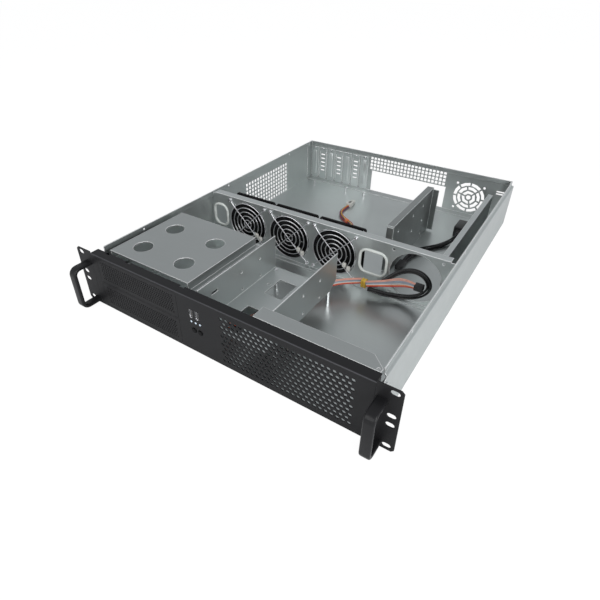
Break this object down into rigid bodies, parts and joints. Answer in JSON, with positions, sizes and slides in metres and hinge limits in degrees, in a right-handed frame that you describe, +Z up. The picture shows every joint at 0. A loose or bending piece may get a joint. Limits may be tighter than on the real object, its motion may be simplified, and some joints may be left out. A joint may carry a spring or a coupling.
{
  "type": "empty rackmount server case",
  "caption": "Open two-unit rack case: folded steel body, black perforated front with handles, drive bays, a wall of fans, vented rear with slot covers, and bays for a board and power supply.",
  "frame": {"origin": "middle of the footprint, on the surface the case stands on", "axes": "+X to the right seen from the front, +Y from front to rear, +Z up"},
  "size_m": [0.4826, 0.6166, 0.0881],
  "materials": {
    "zinc_steel": "zinc-plated sheet steel, satin, with faint rolling marks",
    "black_paint": "fine black powder coat",
    "bright_metal": "bright plated steel",
    "black_plastic": "moulded black plastic",
    "guard_chrome": "chromed wire",
    "white_plastic": "white flexible plastic",
    "board_green": "green board laminate",
    "lamp_clear": "clear lamp lenses",
    "wire_sleeve": "a bundle of thin coloured wires",
    "tie_yellow": "yellow tape",
    "cord_black": "black cable jacket"
  },
  "bodies": {
    "case": {"chassis_tray": "zinc_steel", "rear_panel": "zinc_steel", "cage_frame": "zinc_steel", "cage_cover": "zinc_steel", "drive_tray": "zinc_steel", "front_cross_member": "zinc_steel", "fan_wall": "zinc_steel", "psu_divider": "zinc_steel", "psu_rail": "zinc_steel", "front_io_bracket": "zinc_steel", "slot_cover_1": "zinc_steel", "slot_cover_2": "zinc_steel", "slot_cover_3": "zinc_steel", "slot_cover_4": "zinc_steel", "slot_cover_5": "zinc_steel", "slot_cover_6": "zinc_steel", "slot_cover_7": "zinc_steel", "front_bezel": "black_paint", "bay_cover_lower": "black_paint", "bay_cover_upper": "black_paint", "rack_ear_right": "black_paint", "rack_ear_left": "black_paint", "handle_right": "black_paint", "handle_left": "black_paint", "handle_screws_right": "bright_metal", "handle_screws_left": "bright_metal", "ear_screws": "bright_metal", "fan_screws": "bright_metal", "slot_screws": "bright_metal", "tray_pillars": "bright_metal", "board_standoffs": "bright_metal", "usb_port_left": "bright_metal", "usb_port_right": "bright_metal", "fan_frame_1": "black_plastic", "fan_guard_1": "guard_chrome", "fan_frame_2": "black_plastic", "fan_guard_2": "guard_chrome", "fan_frame_3": "black_plastic", "fan_guard_3": "guard_chrome", "cable_edging_left": "white_plastic", "cable_edging_middle": "white_plastic", "front_io_board": "board_green", "status_lamps": "lamp_clear", "front_switches": "black_plastic", "harness_plug": "white_plastic", "front_harness": "wire_sleeve", "harness_tie": "tie_yellow", "harness_loop": "cord_black", "harness_wires": "wire_sleeve", "harness_wires_plug": "black_plastic", "fan_lead": "wire_sleeve", "fan_lead_plug": "white_plastic", "power_lead": "cord_black", "power_lead_plug": "black_plastic", "power_lead_socket": "black_plastic"},
    "fan_rotor_1": {"fan_rotor_1": "black_plastic"},
    "fan_rotor_2": {"fan_rotor_2": "black_plastic"},
    "fan_rotor_3": {"fan_rotor_3": "black_plastic"},
    "power_button": {"power_button": "black_plastic"},
    "reset_button": {"reset_button": "black_plastic"}
  },
  "joints": [
    {"name": "fan_spin_1", "type": "hinge", "parent": "case", "child": "fan_rotor_1", "pos_m": [-0.13635, -0.01475, 0.0438], "axis": [0, 1, 0], "continuous": true},
    {"name": "fan_spin_2", "type": "hinge", "parent": "case", "child": "fan_rotor_2", "pos_m": [-0.05281, -0.01475, 0.0438], "axis": [0, 1, 0], "continuous": true},
    {"name": "fan_spin_3", "type": "hinge", "parent": "case", "child": "fan_rotor_3", "pos_m": [0.03073, -0.01475, 0.0438], "axis": [0, 1, 0], "continuous": true},
    {"name": "power_press", "type": "slide", "parent": "case", "child": "power_button", "axis": [0, 1, 0], "range_m": [0, 0.001], "stiffness_N_per_m": 150, "springref_m": -0.0005},
    {"name": "reset_press", "type": "slide", "parent": "case", "child": "reset_button", "axis": [0, 1, 0], "range_m": [0, 0.001], "stiffness_N_per_m": 150, "springref_m": -0.0005}
  ]
}
